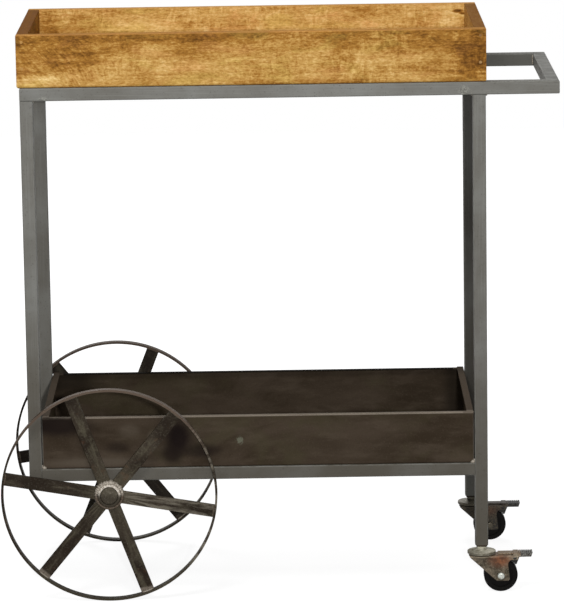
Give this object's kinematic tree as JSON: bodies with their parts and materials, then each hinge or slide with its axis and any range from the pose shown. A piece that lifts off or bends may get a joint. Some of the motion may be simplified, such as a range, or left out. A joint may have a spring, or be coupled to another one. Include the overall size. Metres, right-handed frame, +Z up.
{
  "type": "bar cart",
  "caption": "Welded tube bar cart with a lift-off wooden tray, a folded metal bin, large spoked wheels at one end, braked swivel casters at the other, and a loop handle.",
  "frame": {"origin": "on the floor under the centre of the whole cart's bounding box", "axes": "+X along the cart towards the handle and casters, +Y from front to back, +Z up"},
  "size_m": [0.8234, 0.3742, 0.8385],
  "materials": {
    "frame_paint": "warm grey paint, satin, slightly uneven",
    "bin_sheet": "dark bronze-grey paint, satin",
    "wheel_iron": "dark grey-brown paint over flat bar",
    "tray_wood": "oiled golden hardwood with dark figure and pale sapwood",
    "dowel_wood": "pale end grain",
    "plug_plastic": "black moulded plastic",
    "caster_steel": "pale yellowed zinc",
    "caster_fork": "olive-grey zinc with orange stain",
    "caster_bolt": "bright zinc",
    "caster_tread": "black solid rubber",
    "pedal_steel": "grey ribbed steel, speckled"
  },
  "bodies": {
    "frame": {"leg_front_left": "frame_paint", "leg_back_left": "frame_paint", "leg_front_right": "frame_paint", "leg_back_right": "frame_paint", "top_rail_front": "frame_paint", "top_rail_back": "frame_paint", "top_rail_left": "frame_paint", "top_rail_right": "frame_paint", "handle_bar": "frame_paint", "lower_rail_front": "frame_paint", "lower_rail_back": "frame_paint", "lower_rail_left": "frame_paint", "lower_rail_right": "frame_paint", "leg_plugs": "plug_plastic", "bin_pan": "bin_sheet", "axle": "wheel_iron", "axle_bracket_front": "wheel_iron", "axle_bracket_back": "wheel_iron", "axle_collars": "wheel_iron", "axle_caps": "wheel_iron", "front_caster_sleeve": "plug_plastic", "front_caster_stem": "caster_steel", "front_caster_dome": "caster_steel", "back_caster_sleeve": "plug_plastic", "back_caster_stem": "caster_steel", "back_caster_dome": "caster_steel"},
    "tray": {"tray_board_front": "tray_wood", "tray_board_back": "tray_wood", "tray_board_left": "tray_wood", "tray_board_right": "tray_wood", "tray_floor_plank_1": "tray_wood", "tray_floor_plank_2": "tray_wood", "tray_floor_plank_3": "tray_wood", "tray_dowels": "dowel_wood"},
    "front_wheel": {"front_wheel_rim": "wheel_iron", "front_wheel_hub": "wheel_iron", "front_wheel_spoke_1": "wheel_iron", "front_wheel_spoke_2": "wheel_iron", "front_wheel_spoke_3": "wheel_iron", "front_wheel_spoke_4": "wheel_iron", "front_wheel_spoke_5": "wheel_iron", "front_wheel_spoke_6": "wheel_iron"},
    "back_wheel": {"back_wheel_rim": "wheel_iron", "back_wheel_hub": "wheel_iron", "back_wheel_spoke_1": "wheel_iron", "back_wheel_spoke_2": "wheel_iron", "back_wheel_spoke_3": "wheel_iron", "back_wheel_spoke_4": "wheel_iron", "back_wheel_spoke_5": "wheel_iron", "back_wheel_spoke_6": "wheel_iron"},
    "front_caster": {"front_caster_fork": "caster_fork", "front_caster_balls": "caster_steel", "front_caster_bolt": "caster_bolt"},
    "front_caster_wheel": {"front_caster_wheel": "caster_tread"},
    "front_brake": {"front_caster_pedal": "pedal_steel"},
    "back_caster": {"back_caster_fork": "caster_fork", "back_caster_balls": "caster_steel", "back_caster_bolt": "caster_bolt"},
    "back_caster_wheel": {"back_caster_wheel": "caster_tread"},
    "back_brake": {"back_caster_pedal": "pedal_steel"}
  },
  "joints": [
    {"name": "tray_lift", "type": "slide", "parent": "frame", "child": "tray", "axis": [0, 0, 1], "range_m": [0, 0.12]},
    {"name": "front_wheel_roll", "type": "hinge", "parent": "frame", "child": "front_wheel", "pos_m": [-0.25275, -0.178, 0.159], "axis": [0, 1, 0], "continuous": true},
    {"name": "back_wheel_roll", "type": "hinge", "parent": "frame", "child": "back_wheel", "pos_m": [-0.25275, 0.178, 0.159], "axis": [0, 1, 0], "continuous": true},
    {"name": "front_caster_swivel", "type": "hinge", "parent": "frame", "child": "front_caster", "pos_m": [0.29525, -0.1555, 0.0555], "axis": [0, 0, 1], "continuous": true},
    {"name": "front_caster_roll", "type": "hinge", "parent": "front_caster", "child": "front_caster_wheel", "pos_m": [0.32325, -0.1555, 0.025], "axis": [0, 1, 0], "continuous": true},
    {"name": "front_brake_press", "type": "hinge", "parent": "front_caster", "child": "front_brake", "pos_m": [0.34375, -0.1555, 0.0525], "axis": [0, 1, 0], "range_deg": [0, 12]},
    {"name": "back_caster_swivel", "type": "hinge", "parent": "frame", "child": "back_caster", "pos_m": [0.29525, 0.1555, 0.0555], "axis": [0, 0, 1], "continuous": true},
    {"name": "back_caster_roll", "type": "hinge", "parent": "back_caster", "child": "back_caster_wheel", "pos_m": [0.32325, 0.1555, 0.025], "axis": [0, 1, 0], "continuous": true},
    {"name": "back_brake_press", "type": "hinge", "parent": "back_caster", "child": "back_brake", "pos_m": [0.34375, 0.1555, 0.0525], "axis": [0, 1, 0], "range_deg": [0, 12]}
  ]
}
